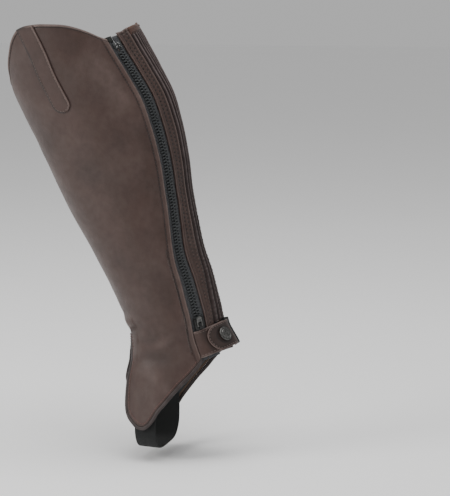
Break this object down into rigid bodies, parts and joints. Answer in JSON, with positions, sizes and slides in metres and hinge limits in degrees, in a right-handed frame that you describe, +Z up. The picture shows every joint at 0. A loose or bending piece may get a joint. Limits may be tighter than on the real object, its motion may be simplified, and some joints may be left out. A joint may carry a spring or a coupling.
{
  "type": "half chap",
  "caption": "Smooth brown leather half chap for the left leg, with a raised outer peak, shirred back panel, rear zip and snap strap at the ankle, held in its worn shape.",
  "frame": {"origin": "on the leg's axis at the widest part of the calf, where the leg holds the chap", "axes": "+Z up, along the length of the leg, which leans 21.4 degrees forward; -Y is the way the wearer faces; +X is the outer side of the left leg"},
  "size_m": [0.12, 0.244, 0.4417],
  "materials": {
    "leather": "smooth grey-brown leather with a soft sheen",
    "pleated_leather": "soft dark brown leather, shirred",
    "band_leather": "smooth reddish brown leather",
    "black_cloth": "black woven tape and lining",
    "black_elastic": "black ribbed elastic webbing",
    "zip_teeth": "black moulded teeth",
    "dark_metal": "dark antique metal",
    "bright_metal": "bright metal"
  },
  "bodies": {
    "chap": {"main_panel": "leather", "peak_tongue": "leather", "flap_binding": "leather", "flap_lining": "black_cloth", "pleated_panel": "pleated_leather", "pleat_top_binding": "band_leather", "zip_facing": "leather", "zip_tape_outer": "black_cloth", "zip_tape_inner": "black_cloth", "zip_chain": "zip_teeth", "zip_top_box": "bright_metal", "zip_slider": "dark_metal", "ankle_elastic": "black_elastic", "strap_base": "leather", "strap_tab": "leather", "snap_cap": "dark_metal", "underfoot_strap": "black_elastic"},
    "pull": {"zip_pull": "dark_metal"}
  },
  "joints": [
    {"name": "pull_hinge", "type": "hinge", "parent": "chap", "child": "pull", "pos_m": [0.03217, 0.11411, -0.2044], "axis": [-0.5397, 0.8087, 0.2339], "range_deg": [0, 165]}
  ]
}
